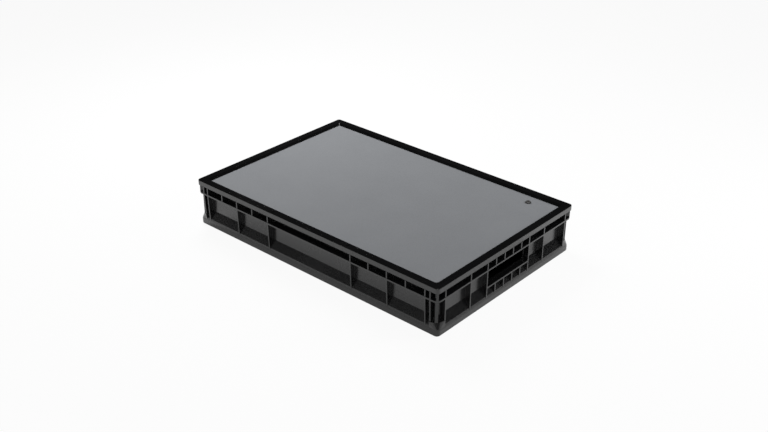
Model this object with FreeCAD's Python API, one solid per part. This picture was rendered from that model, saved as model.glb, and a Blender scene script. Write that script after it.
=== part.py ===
"""Shallow stacking box for static-sensitive parts, with a lift-off lid that carries a grey mat.

Millimetres. The origin is the centre of the footprint on the ground, +X runs along
the length, +Y along the width and +Z up. Insets are measured inwards from the
outermost side faces, and heights upwards from the ground.
"""
import FreeCAD
import Part
import math
import os

# Overall size, with the lid on
length = 600.0
width = 400.0
height = 96.0

# Lid moulding
lid_corner_radius = 6.0
lid_plate = 2.5
lid_skirt_thickness = 2.2
lid_skirt_height = 10.8
border_width = 18.0
border_corner_radius = 2.5
border_outer_round = 1.5
recess_slope = 3.5
skirt_lip_chamfer = 0.5
lid_rib_thickness = 2.0
lid_rib_depth = 4.0
lid_rib_columns = 5
lid_rib_rows = 3
notch_spacing = 186.0
notch_width = 3.0
notch_depth = 1.4
notch_from_side = 3.0
notch_length = 9.0

# Mat inlaid in the lid
mat_thickness = 2.0
mat_recess = 5.0
mat_gap = 0.3

# Press stud for the earth lead
stud_from_end = 72.0
stud_from_side = 41.5
stud_flange_diameter = 12.0
stud_flange_thickness = 0.5
stud_neck_diameter = 8.4
stud_head_diameter = 10.0
stud_head_height = 2.2
stud_bulge_share = 0.55
stud_post_diameter = 4.6
stud_post_bore = 3.0
stud_roll_diameter = 7.2
stud_roll_thickness = 0.7
stud_hole_gap = 0.1
washer_diameter = 11.0
washer_thickness = 0.8

# Box wall
wall = 2.5
wall_inset = 11.0
wall_corner_radius = 12.0
floor_thickness = 2.5
floor_clearance = 4.0
floor_edge_round = 5.0
floor_rib_thickness = 2.0
floor_rib_columns = 9
floor_rib_rows = 5

# Box rim, hidden in the lid, and the flange below it
rim_flange_thickness = 2.5
rim_corner_radius = 3.0
lid_side_gap = 0.7
lid_lip_gap = 0.5
lid_plug_gap = 0.5
slot_height = 14.2
band_inset = 0.4
band_thickness = 3.0
band_corner_radius = 10.0
corner_rib_thickness = 4.0

# Flared foot; its insets are from the ends and from the sides, and shares are of the flare's reach
foot_height = 14.0
foot_insets = (0.0, 2.5)
foot_corner_radius = 7.5
foot_bottom_round = 2.5
foot_skirt = 3.0
flare_height = 20.0
flare_ease_height = 3.0
flare_ease_share = 0.045
flare_blend_share = 0.15
flare_shell = 3.0
corner_flare_height = 11.5

# Ribs on the outside of the wall, placed from the nearer end or side
rib_thickness = 2.6
rib_inset = 0.6
rib_root = 1.0
rib_ground_gap = 2.0
long_ribs_from_end = (17.0, 28.0, 112.0, 196.0)
long_slot_ribs_from_end = (70.0, 154.0)
short_ribs_from_side = (22.0, 91.0, 138.0)
corner_fin_thickness = 5.5
corner_fin_radius = 22.0

# Hand grips in the short sides
grip_bar_thickness = 3.0
grip_bar_height = 33.0
grip_lip = 1.2
grip_corner_radius = 6.0
grip_rib_pitch = 25.0
grip_rib_pairs = 2

# Levels worked out from the sizes above
lid_underside = height - lid_plate
skirt_bottom = height - lid_skirt_height
mat_top = height - mat_recess
mat_bottom = mat_top - mat_thickness
lid_floor_bottom = mat_bottom - lid_plate
rim_top = lid_underside
rim_flange_bottom = rim_top - rim_flange_thickness
band_top = skirt_bottom - slot_height
band_bottom = band_top - band_thickness
flare_top = foot_height + flare_height
floor_top = floor_clearance + floor_thickness
rim_inset = lid_skirt_thickness + lid_side_gap
inner_inset = wall_inset + wall
inner_corner_radius = wall_corner_radius - wall


def rounded_outline(insets, radius, level):
    """Closed wire of a rounded rectangle; the two insets are from the ends and from the sides."""
    half_x = length / 2 - insets[0]
    half_y = width / 2 - insets[1]
    edges = []
    for quarter, (side_x, side_y) in enumerate(((1, 1), (-1, 1), (-1, -1), (1, -1))):
        centre = FreeCAD.Vector(side_x * (half_x - radius), side_y * (half_y - radius), level)
        start = math.radians(90 * quarter)
        ends = [start, start + math.pi / 4, start + math.pi / 2]
        points = [centre + FreeCAD.Vector(math.cos(t), math.sin(t), 0) * radius for t in ends]
        edges.append(Part.Arc(*points).toShape())
    wire = []
    for index, arc in enumerate(edges):
        following = edges[(index + 1) % 4]
        wire.append(arc)
        wire.append(Part.makeLine(arc.Vertexes[-1].Point, following.Vertexes[0].Point))
    return Part.Wire(wire)


def rounded_block(insets, radius, bottom, top):
    """Upright block with the outline of a rounded rectangle."""
    face = Part.Face(rounded_outline(insets, radius, bottom))
    return face.extrude(FreeCAD.Vector(0, 0, top - bottom))


def all_round(inset):
    """The same inset from the ends and from the sides."""
    return (inset, inset)


def deeper(insets, amount):
    """Insets moved further in by one amount."""
    return tuple(inset + amount for inset in insets)


def box_between(low, high):
    """Plain block between two opposite corners."""
    size = [b - a for a, b in zip(low, high)]
    return Part.makeBox(size[0], size[1], size[2], FreeCAD.Vector(*low))


def edges_at(shape, level):
    """Edges of a shape that lie flat at one height."""
    found = []
    for edge in shape.Edges:
        box = edge.BoundBox
        if abs(box.ZMin - level) < 1e-6 and abs(box.ZMax - level) < 1e-6:
            found.append(edge)
    return found


def turned(shape, angle):
    """Copy of a shape turned about the vertical axis."""
    copy = shape.copy()
    copy.rotate(FreeCAD.Vector(0, 0, 0), FreeCAD.Vector(0, 0, 1), angle)
    return copy


def mirrored_pairs(places):
    """Every place with its mirror image on the other side of the middle."""
    return sorted(set(places) | {-place for place in places})


def from_both_ends(span, distances):
    """Places at the given distances from either end of a centred span."""
    return mirrored_pairs([span / 2 - distance for distance in distances])


def evenly_spaced(count, span):
    """Places that split a span, centred on zero, into equal fields."""
    pitch = span / (count + 1)
    return [pitch * (index + 1) - span / 2 for index in range(count)]


def tapered_block(sections):
    """Block with flat sloping sides through outlines given as (insets, radius, level)."""
    return Part.makeLoft([rounded_outline(*section) for section in sections], True, True)


def flare_insets(share):
    """Insets of the flare at a share of its way from the foot to the wall."""
    return tuple(inset + (wall_inset - inset) * share for inset in foot_insets)


def flare_radius(share):
    """Corner radius of the flare at a share of its way from the foot to the wall."""
    return foot_corner_radius + (wall_corner_radius - foot_corner_radius) * share


def flare_sections(offset):
    """Outlines of the flare from foot to wall, eased where it leaves the foot, and set in by an offset."""
    steps = ((0, foot_height - flare_ease_height),
             (flare_ease_share, foot_height),
             (flare_blend_share, foot_height + flare_height * flare_blend_share),
             (1, flare_top))
    return [(deeper(flare_insets(share), offset), flare_radius(share), level - offset)
            for share, level in steps]


def foot_hollow():
    """Space under the flared foot, between its skirt and the wall."""
    sections = flare_sections(flare_shell)
    lowest = sections[0]
    space = tapered_block(sections).fuse(rounded_block(lowest[0], lowest[1], -1, lowest[2]))
    return space.cut(rounded_block(all_round(wall_inset), wall_corner_radius, -2, flare_top + 1))


def box_shell():
    """Wall column, flared foot, rim flange and band, still solid inside."""
    foot = rounded_block(foot_insets, foot_corner_radius, 0, foot_height - flare_ease_height)
    foot = foot.makeFillet(foot_bottom_round, edges_at(foot, 0))
    flare = tapered_block(flare_sections(0))
    column = rounded_block(all_round(wall_inset), wall_corner_radius, 0, rim_top)
    rim = rounded_block(all_round(rim_inset), rim_corner_radius, rim_flange_bottom, rim_top)
    band = rounded_block(all_round(band_inset), band_corner_radius, band_bottom, band_top)
    shell = foot.fuse([flare, column]).cut(foot_hollow())
    return shell.fuse([rim, band])


def corner_flares():
    """Sloping pads that widen each corner post to the foot."""
    sections = [(flare_insets(flare_ease_share), flare_radius(flare_ease_share), foot_height),
                (all_round(rib_inset), corner_fin_radius, foot_height + corner_flare_height)]
    slope = tapered_block(sections)
    span_x = min(long_ribs_from_end) + rib_thickness / 2
    span_y = min(short_ribs_from_side) + rib_thickness / 2
    pads = []
    for side_x, side_y in ((1, 1), (-1, 1), (-1, -1), (1, -1)):
        low_x = min(side_x * length / 2, side_x * (length / 2 - span_x))
        low_y = min(side_y * width / 2, side_y * (width / 2 - span_y))
        corner = box_between((low_x, low_y, 0), (low_x + span_x, low_y + span_y, height))
        pads.append(slope.common(corner))
    return pads


def side_rib(place, bottom, top, side):
    """Rib on the side at +Y, made for an end (side 0) or for a long side (side 1).

    Its front leans in from the band down to the foot, and steps in under the lid's skirt.
    """
    half_span = (length, width)[side] / 2
    root = half_span - wall_inset - rib_root
    front = half_span - rib_inset
    foot_front = half_span - flare_insets(flare_ease_share)[side]
    lean = (front - foot_front) / (band_bottom - foot_height)
    step = skirt_bottom - lid_lip_gap
    points = [(root, bottom)]
    if bottom < foot_height:
        points += [(foot_front - foot_skirt, bottom), (foot_front - foot_skirt, foot_height - flare_shell)]
        points += [(foot_front, foot_height)]
    if top < band_bottom:
        points += [(foot_front + lean * (top - foot_height), top)]
    else:
        points += [(front, band_bottom), (front, step), (half_span - rim_inset, step)]
        points += [(half_span - rim_inset, top)]
    points += [(root, top), (root, bottom)]
    left = place - rib_thickness / 2
    outline = Part.makePolygon([FreeCAD.Vector(left, y, z) for y, z in points])
    return Part.Face(outline).extrude(FreeCAD.Vector(rib_thickness, 0, 0))


def long_side_ribs():
    """Ribs of both long sides: full height, and short ones in the slot under the lid."""
    full = from_both_ends(length, long_ribs_from_end)
    short = from_both_ends(length, long_slot_ribs_from_end)
    ribs = [side_rib(x, rib_ground_gap, rim_flange_bottom, 1) for x in full]
    ribs += [side_rib(x, band_bottom, rim_flange_bottom, 1) for x in short]
    return ribs + [turned(rib, 180) for rib in ribs]


def grip_rib_places():
    """Places of the short ribs above and below a hand grip."""
    return mirrored_pairs([grip_rib_pitch * (index + 0.5) for index in range(grip_rib_pairs)])


def grip_reach():
    """Half the distance between the ribs on either side of a hand grip."""
    return width / 2 - max(short_ribs_from_side)


def short_side_ribs():
    """Ribs and grip bars of both short sides, made on the +Y side and turned."""
    full = from_both_ends(width, short_ribs_from_side)
    ribs = [side_rib(x, rib_ground_gap, rim_flange_bottom, 0) for x in full]
    for place in grip_rib_places():
        ribs.append(side_rib(place, band_bottom, rim_flange_bottom, 0))
        ribs.append(side_rib(place, rib_ground_gap, grip_bar_height, 0))
    bar_low = (-grip_reach(), length / 2 - wall_inset - rib_root, grip_bar_height)
    bar_high = (grip_reach(), length / 2 - rib_inset, grip_bar_height + grip_bar_thickness)
    ribs.append(box_between(bar_low, bar_high))
    return [turned(rib, angle) for rib in ribs for angle in (90, 270)]


def diagonal_inset(inset, radius):
    """Distance from the footprint's corner to a rounded corner, along the diagonal."""
    return (radius + inset) * math.sqrt(2) - radius


def corner_fins():
    """A thick diagonal fin below the band and a rib between band and rim, on each corner."""
    root = diagonal_inset(wall_inset, wall_corner_radius) + rib_root
    fin_tip = diagonal_inset(rib_inset, corner_fin_radius)
    rib_tip = diagonal_inset(band_inset, band_corner_radius)
    step = skirt_bottom - lid_lip_gap
    fins = []
    for side_x, side_y in ((1, 1), (-1, 1), (-1, -1), (1, -1)):
        half = corner_fin_thickness / 2
        fin = box_between((-root, -half, rib_ground_gap), (-fin_tip, half, rim_flange_bottom))
        half = corner_rib_thickness / 2
        rib = box_between((-root, -half, band_bottom), (-rib_tip, half, step))
        for piece in (fin, rib):
            piece.rotate(FreeCAD.Vector(0, 0, 0), FreeCAD.Vector(0, 0, 1),
                         math.degrees(math.atan2(side_y, side_x)))
            piece.translate(FreeCAD.Vector(side_x * length / 2, side_y * width / 2, 0))
            fins.append(piece)
    return fins


def grip_openings():
    """Cutter for the hand holes through both short walls."""
    reach = grip_reach() - rib_thickness / 2 - grip_lip
    low = grip_bar_height + grip_bar_thickness + grip_lip
    high = band_bottom - grip_lip
    cutter = box_between((-length, -reach, low), (length, reach, high))
    along_x = [edge for edge in cutter.Edges if abs(edge.tangentAt(edge.FirstParameter).x) > 0.99]
    return cutter.makeFillet(grip_corner_radius, along_x)


def interior():
    """Cutter for the inside of the box, with a rounded edge along the floor."""
    space = rounded_block(all_round(inner_inset), inner_corner_radius, floor_top, rim_top + 1)
    return space.makeFillet(floor_edge_round, edges_at(space, floor_top))


def floor_ribs():
    """Stiffening grid under the floor."""
    half_x = length / 2 - inner_inset + rib_root
    half_y = width / 2 - inner_inset + rib_root
    half = floor_rib_thickness / 2
    top = floor_clearance + rib_root
    ribs = [box_between((x - half, -half_y, 0), (x + half, half_y, top))
            for x in evenly_spaced(floor_rib_columns, 2 * half_x)]
    ribs += [box_between((-half_x, y - half, 0), (half_x, y + half, top))
             for y in evenly_spaced(floor_rib_rows, 2 * half_y)]
    return ribs


def container():
    """The whole box moulding."""
    outside = long_side_ribs() + short_side_ribs() + corner_fins() + corner_flares()
    underside = rounded_block(all_round(inner_inset), inner_corner_radius, -1, floor_clearance)
    body = box_shell().fuse(outside).cut([interior(), underside, grip_openings()])
    return body.fuse(floor_ribs()).removeSplitter()


def stud_place():
    """Centre of the press stud, on the lid's underside."""
    return FreeCAD.Vector(length / 2 - stud_from_end, width / 2 - stud_from_side, 0)


def stud_hole(bottom, top):
    """Cutter for the stud's post."""
    radius = stud_post_diameter / 2 + stud_hole_gap
    return Part.makeCylinder(radius, top - bottom, stud_place() + FreeCAD.Vector(0, 0, bottom))


def lid_ribs():
    """Stiffening grid on the lid's underside."""
    plug = border_width + lid_plate
    half_x = length / 2 - plug
    half_y = width / 2 - plug
    half = lid_rib_thickness / 2
    low = lid_floor_bottom - lid_rib_depth
    high = lid_floor_bottom + lid_plate / 2
    ribs = [box_between((x - half, -half_y, low), (x + half, half_y, high))
            for x in evenly_spaced(lid_rib_columns, 2 * half_x)]
    ribs += [box_between((-half_x, y - half, low), (half_x, y + half, high))
             for y in evenly_spaced(lid_rib_rows, 2 * half_y)]
    return ribs


def border_notches():
    """Two narrow notches across the border of one long side."""
    outer = notch_from_side - width / 2
    inner = outer + notch_length
    notches = []
    for side in (-1, 1):
        middle = side * notch_spacing / 2
        notches.append(box_between((middle - notch_width / 2, outer, height - notch_depth),
                                   (middle + notch_width / 2, inner, height + 1)))
    return notches


def lid_recess():
    """Cutter for the mat's recess, upright round the mat and sloping out to the top."""
    well = rounded_block(all_round(border_width), border_corner_radius, mat_bottom, mat_top)
    mouth = [(all_round(border_width), border_corner_radius, mat_top),
             (all_round(border_width - recess_slope), border_corner_radius + recess_slope, height)]
    return well.fuse(tapered_block(mouth))


def lid():
    """Lid moulding: skirt, raised border and the plate that carries the mat."""
    outer = rounded_block(all_round(0), lid_corner_radius, skirt_bottom, height)
    outer = outer.makeFillet(border_outer_round, edges_at(outer, height))
    outer = outer.makeChamfer(skirt_lip_chamfer, edges_at(outer, skirt_bottom))
    channel = rounded_block(all_round(lid_skirt_thickness), lid_corner_radius - lid_skirt_thickness,
                            skirt_bottom - 1, lid_underside)
    plug = rounded_block(all_round(inner_inset + lid_plug_gap), inner_corner_radius,
                         lid_floor_bottom, lid_underside)
    body = outer.cut(channel).fuse([plug] + lid_ribs())
    hole = stud_hole(lid_floor_bottom - lid_rib_depth, height)
    return body.cut([lid_recess(), hole] + border_notches()).removeSplitter()


def lid_mat():
    """Flat mat that fills the recess of the lid."""
    radius = border_corner_radius - mat_gap
    mat = rounded_block(all_round(border_width + mat_gap), radius, mat_bottom, mat_top)
    return mat.cut(stud_hole(mat_bottom - 1, mat_top + 1))


def ring_profile(points):
    """Solid turned about the stud's axis from (radius, height) points."""
    outline = Part.makePolygon([FreeCAD.Vector(r, 0, z) for r, z in points + points[:1]])
    solid = Part.Face(outline).revolve(FreeCAD.Vector(0, 0, 0), FreeCAD.Vector(0, 0, 1), 360)
    solid.translate(stud_place())
    return solid


def ground_stud():
    """Press stud, its hollow post rolled over below the washer."""
    head_top = mat_top + stud_flange_thickness + stud_head_height
    bulge = mat_top + stud_flange_thickness + stud_head_height * stud_bulge_share
    roll_top = lid_floor_bottom - washer_thickness
    roll_bottom = roll_top - stud_roll_thickness
    bore = stud_post_bore / 2
    points = [
        (bore, roll_bottom),
        (stud_roll_diameter / 2, roll_bottom),
        (stud_roll_diameter / 2, roll_top),
        (stud_post_diameter / 2, roll_top),
        (stud_post_diameter / 2, mat_top),
        (stud_flange_diameter / 2, mat_top),
        (stud_flange_diameter / 2, mat_top + stud_flange_thickness),
        (stud_neck_diameter / 2, mat_top + stud_flange_thickness),
        (stud_head_diameter / 2, bulge),
        (stud_neck_diameter / 2, head_top),
        (bore, head_top),
    ]
    return ring_profile(points)


def stud_washer():
    """Washer that backs the stud under the lid."""
    bore = stud_post_diameter / 2 + stud_hole_gap
    edge = washer_diameter / 2
    top = lid_floor_bottom
    bottom = top - washer_thickness
    return ring_profile([(bore, bottom), (edge, bottom), (edge, top), (bore, top)])


def main():
    os.makedirs("parts", exist_ok=True)
    nodes = {
        "container": container(),
        "lid": lid(),
        "lid_mat": lid_mat(),
        "ground_stud": ground_stud(),
        "stud_washer": stud_washer(),
    }
    for name, shape in nodes.items():
        shape.exportStep("parts/" + name + ".step")
        print(name, "solids", len(shape.Solids), "volume", round(shape.Volume), "valid", shape.isValid())


main()
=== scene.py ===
"""Looks of a conductive stacking box: materials, pale floor, soft studio light and camera.

Everything is in metres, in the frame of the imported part.
"""
import bpy
import math
from mathutils import Matrix, Vector


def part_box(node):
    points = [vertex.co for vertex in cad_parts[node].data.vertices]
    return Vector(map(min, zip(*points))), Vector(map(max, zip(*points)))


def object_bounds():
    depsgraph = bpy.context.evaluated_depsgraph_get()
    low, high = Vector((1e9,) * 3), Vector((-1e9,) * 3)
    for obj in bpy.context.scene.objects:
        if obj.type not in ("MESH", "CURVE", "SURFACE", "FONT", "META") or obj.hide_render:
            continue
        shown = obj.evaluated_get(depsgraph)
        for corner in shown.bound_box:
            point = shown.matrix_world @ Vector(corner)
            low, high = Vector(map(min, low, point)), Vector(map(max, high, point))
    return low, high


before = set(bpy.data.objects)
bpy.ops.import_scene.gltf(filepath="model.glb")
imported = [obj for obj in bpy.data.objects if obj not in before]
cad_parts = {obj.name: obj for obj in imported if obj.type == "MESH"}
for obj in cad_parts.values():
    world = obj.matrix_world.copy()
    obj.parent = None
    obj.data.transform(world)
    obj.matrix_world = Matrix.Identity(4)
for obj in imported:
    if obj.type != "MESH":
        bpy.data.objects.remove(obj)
cad_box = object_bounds()

# Camera, as solved from the box's corners in the photograph; angles in degrees, lens in millimetres
camera_azimuth = 41.16
camera_elevation = 28.35
camera_roll = 0.44
camera_lens = 50.64
camera_from_rim_centre = Vector((1.2081, -1.3734, 0.9343))

# Light levels, at which 1 is white
world_seen = 0.935
world_mirrored = 0.008
world_light = 0.15
floor_glow_seen = 0.93
floor_glow_mirrored = 0.25

# Floor
floor_size = 60.0
floor_gap = 0.0002

# Lamps: power in watts, and whether a gloss mirrors the lamp itself
lamps = {
    "left_rear": {"place": (-0.75, 0.3, 0.9), "size": 0.6, "power": 12.0, "mirrored": False},
    "right_rear": {"place": (0.9, 0.75, 0.7), "size": 0.5, "power": 6.0, "mirrored": False},
    "behind_camera": {"place": (1.9, -2.2, 3.0), "size": 2.0, "power": 50.0, "mirrored": True},
}

# Colours, as linear red, green and blue
white = (1, 1, 1)
floor_colour = (0.86, 0.86, 0.86)
plastic_dark = (0.004, 0.004, 0.0043)
plastic_light = (0.0062, 0.0062, 0.0066)
plastic_worn = (0.03, 0.03, 0.03)
mat_dark = (0.229, 0.236, 0.248)
mat_light = (0.237, 0.244, 0.256)
mat_speck = (0.13, 0.135, 0.14)
plate_clean = (0.21, 0.208, 0.203)
plate_stained = (0.15, 0.148, 0.144)

# Shading of edges: how far wear reaches and how round a sharp edge looks
worn_radius = 0.0006
worn_turn = (0.02, 0.25)
worn_share = 0.5
soft_edge_radius = 0.0004
bevel_samples = 6


class Nodes:
    """A node tree, with short calls to add and join nodes."""

    def __init__(self, tree):
        self.tree = tree

    def add(self, kind, settings=None, **inputs):
        """New node; settings are its own properties and inputs are values or sockets."""
        node = self.tree.nodes.new(kind)
        for key, value in (settings or {}).items():
            setattr(node, key, value)
        for key, value in inputs.items():
            self.join(value, node.inputs[key.replace("_", " ")])
        return node

    def join(self, value, socket):
        """Links a socket, or sets a number or a colour."""
        if isinstance(value, bpy.types.NodeSocket):
            self.tree.links.new(value, socket)
        elif socket.type == "RGBA":
            socket.default_value = (*value, 1)
        else:
            socket.default_value = value

    def join_all(self, values, sockets):
        for value, socket in zip(values, sockets, strict=True):
            self.join(value, socket)

    def math(self, operation, first, second):
        node = self.add("ShaderNodeMath", {"operation": operation})
        self.join_all((first, second), node.inputs[:2])
        return node.outputs["Value"]

    def mix(self, amount, first, second, data="RGBA"):
        """Blend of two colours, or of two numbers with data FLOAT."""
        kind = "VALUE" if data == "FLOAT" else data
        node = self.add("ShaderNodeMix", {"data_type": data}, Factor=amount)
        ends = [socket for socket in node.inputs if socket.type == kind][-2:]
        self.join_all((first, second), ends)
        return next(socket for socket in node.outputs if socket.type == kind)


class Shading(Nodes):
    """A new material's node tree, with patterns placed in the object's own space."""

    def __init__(self, name):
        self.material = bpy.data.materials.new(name)
        self.material.use_nodes = True
        super().__init__(self.material.node_tree)
        self.tree.nodes.clear()
        self.output = self.add("ShaderNodeOutputMaterial")
        self.place = self.add("ShaderNodeTexCoord").outputs["Object"]

    def noise(self, scale, detail, roughness=0.5):
        """Noise of about 1/scale metres."""
        node = self.add("ShaderNodeTexNoise", Vector=self.place, Scale=scale, Detail=detail,
                        Roughness=roughness)
        return node.outputs["Fac"]

    def spread(self, value, low, high, to_low=0.0, to_high=1.0):
        """Value taken from one range to another and held inside it."""
        node = self.add("ShaderNodeMapRange", Value=value, From_Min=low, From_Max=high,
                        To_Min=to_low, To_Max=to_high)
        return node.outputs["Result"]

    def rounded_normal(self, radius):
        return self.add("ShaderNodeBevel", {"samples": bevel_samples}, Radius=radius).outputs["Normal"]

    def edge_wear(self):
        """1 on sharp edges and 0 on flats, from the turn of a rounded normal."""
        flat = self.add("ShaderNodeNewGeometry").outputs["Normal"]
        node = self.add("ShaderNodeVectorMath", {"operation": "DOT_PRODUCT"})
        self.join_all((self.rounded_normal(worn_radius), flat), node.inputs[:2])
        start, full = worn_turn
        return self.spread(node.outputs["Value"], low=1 - start, high=1 - full)

    def bump(self, height, strength, distance, over=None):
        """Normal raised by a height, over another normal where one is given."""
        node = self.add("ShaderNodeBump", Height=height, Strength=strength, Distance=distance)
        if over is not None:
            self.join(over, node.inputs["Normal"])
        return node.outputs["Normal"]

    def finish(self, shader):
        self.join(shader, self.output.inputs["Surface"])
        return self.material


def conductive_plastic():
    """Carbon-filled black plastic: fine moulded grain, faint flow marks and paler handled edges."""
    look = Shading("black_conductive_plastic")
    flow = look.noise(scale=9.0, detail=4.0, roughness=0.6)
    grain = look.noise(scale=2600.0, detail=2.0)
    scuffs = look.spread(look.noise(scale=140.0, detail=6.0, roughness=0.7), low=0.55, high=0.72)
    handled = look.spread(scuffs, low=0.0, high=1.0, to_low=0.35, to_high=1.0)
    wear = look.math("MULTIPLY", look.edge_wear(), handled)
    body = look.mix(look.spread(flow, low=0.35, high=0.65), plastic_dark, plastic_light)
    colour = look.mix(look.math("MULTIPLY", wear, worn_share), body, plastic_worn)
    uneven = look.math("ADD", flow, look.math("MULTIPLY", scuffs, 0.25))
    rough = look.spread(uneven, low=0.35, high=0.9, to_low=0.24, to_high=0.34)
    waves = look.bump(flow, strength=0.15, distance=0.0006, over=look.rounded_normal(soft_edge_radius))
    normal = look.bump(grain, strength=0.10, distance=0.0001, over=waves)
    shader = look.add("ShaderNodeBsdfPrincipled", Base_Color=colour, Roughness=rough, Normal=normal,
                      IOR=1.5, Coat_Weight=0.65, Coat_Roughness=0.2, Coat_Normal=normal)
    return look.finish(shader.outputs["BSDF"])


def dissipative_mat():
    """Grey dissipative sheet: darker specks, slight mottling and a fine pebbled face."""
    look = Shading("grey_mat")
    mottle = look.noise(scale=14.0, detail=5.0, roughness=0.6)
    specks = look.noise(scale=1500.0, detail=2.0)
    pebbles = look.add("ShaderNodeTexVoronoi", Vector=look.place, Scale=1100.0).outputs["Distance"]
    body = look.mix(look.spread(mottle, low=0.35, high=0.65), mat_dark, mat_light)
    flecked = look.mix(look.spread(specks, low=0.50, high=0.66, to_high=0.42), body, mat_speck)
    rough = look.spread(mottle, low=0.3, high=0.7, to_low=0.49, to_high=0.53)
    hollows = look.bump(mottle, strength=0.03, distance=0.0006)
    normal = look.bump(pebbles, strength=0.25, distance=0.0002, over=hollows)
    shader = look.add("ShaderNodeBsdfPrincipled", Base_Color=flecked, Roughness=rough, Normal=normal)
    return look.finish(shader.outputs["BSDF"])


def nickel_plate():
    """Dull nickel plate: small scratches and darker stains."""
    look = Shading("plated_metal")
    scratches = look.noise(scale=900.0, detail=6.0, roughness=0.7)
    stains = look.noise(scale=120.0, detail=3.0)
    colour = look.mix(look.spread(stains, low=0.4, high=0.65), plate_clean, plate_stained)
    rough = look.spread(scratches, low=0.3, high=0.7, to_low=0.48, to_high=0.6)
    normal = look.bump(scratches, strength=0.10, distance=0.0001)
    shader = look.add("ShaderNodeBsdfPrincipled", Base_Color=colour, Roughness=rough, Normal=normal,
                      Metallic=0.65)
    return look.finish(shader.outputs["BSDF"])


def floor_glow(look):
    """Share of plain white in the floor, for the camera and, less, by way of a gloss or glass."""
    path = look.add("ShaderNodeLightPath")
    bounced = look.math("MAXIMUM", path.outputs["Is Glossy Ray"], path.outputs["Is Transmission Ray"])
    seen = look.math("MULTIPLY", path.outputs["Is Camera Ray"], floor_glow_seen)
    return look.math("MAXIMUM", seen, look.math("MULTIPLY", bounced, floor_glow_mirrored))


def floor_material():
    """White floor that keeps a faint shadow."""
    look = Shading("studio_floor")
    paper = look.add("ShaderNodeBsdfDiffuse", Color=floor_colour).outputs["BSDF"]
    glow = look.add("ShaderNodeEmission", Color=white, Strength=1.0).outputs["Emission"]
    mix = look.add("ShaderNodeMixShader", Fac=floor_glow(look))
    look.join_all((paper, glow), mix.inputs[1:])
    return look.finish(mix.outputs["Shader"])


def make_floor():
    """Large plain floor just below the box's feet."""
    half = floor_size / 2
    mesh = bpy.data.meshes.new("studio_floor")
    corners = [(-half, -half, 0), (half, -half, 0), (half, half, 0), (-half, half, 0)]
    mesh.from_pydata(corners, [], [(0, 1, 2, 3)])
    mesh.materials.append(floor_material())
    floor = bpy.data.objects.new("studio_floor", mesh)
    floor.location.z = cad_box[0].z - floor_gap
    bpy.context.scene.collection.objects.link(floor)


def make_world():
    """Dim surroundings, as pale as the far floor where they are seen."""
    world = bpy.data.worlds.new("studio")
    world.use_nodes = True
    bpy.context.scene.world = world
    nodes = Nodes(world.node_tree)
    path = nodes.add("ShaderNodeLightPath").outputs
    unseen = nodes.mix(path["Is Glossy Ray"], world_light, world_mirrored, data="FLOAT")
    strength = nodes.mix(path["Is Camera Ray"], unseen, world_seen, data="FLOAT")
    nodes.join_all((white, strength), world.node_tree.nodes["Background"].inputs[:2])


def make_lamps():
    """Square soft lamps, each turned to the middle of the box."""
    aim = (cad_box[0] + cad_box[1]) / 2
    for name, facts in lamps.items():
        data = bpy.data.lights.new(name, "AREA")
        data.size = facts["size"]
        data.energy = facts["power"]
        lamp = bpy.data.objects.new(name, data)
        lamp.location = facts["place"]
        lamp.visible_glossy = facts["mirrored"]
        lamp.visible_camera = False
        lamp.rotation_euler = (aim - lamp.location).to_track_quat("-Z", "Y").to_euler()
        bpy.context.scene.collection.objects.link(lamp)


def make_camera():
    """Camera at the photograph's viewing angle."""
    azimuth = math.radians(camera_azimuth)
    elevation = math.radians(camera_elevation)
    flat = math.cos(elevation)
    back = Vector((math.sin(azimuth) * flat, -math.cos(azimuth) * flat, math.sin(elevation)))
    right = Vector((0, 0, 1)).cross(back).normalized()
    turn = Matrix((right, back.cross(right), back)).transposed()
    roll = Matrix.Rotation(math.radians(camera_roll), 3, "Z")
    lens = bpy.data.cameras.new("camera")
    lens.lens = camera_lens
    lens.clip_end = 2 * floor_size
    camera = bpy.data.objects.new("camera", lens)
    rim_centre = Vector((0, 0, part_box("lid")[1].z))
    camera.matrix_world = Matrix.Translation(rim_centre + camera_from_rim_centre) @ (turn @ roll).to_4x4()
    bpy.context.scene.collection.objects.link(camera)
    bpy.context.scene.camera = camera


def dress(material, *names):
    """Gives CAD nodes a material."""
    for name in names:
        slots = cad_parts[name].data.materials
        slots.clear()
        slots.append(material)


dress(conductive_plastic(), "container", "lid")
dress(dissipative_mat(), "lid_mat")
dress(nickel_plate(), "ground_stud", "stud_washer")
make_floor()
make_world()
make_lamps()
make_camera()
bpy.context.scene.view_settings.view_transform = "Standard"
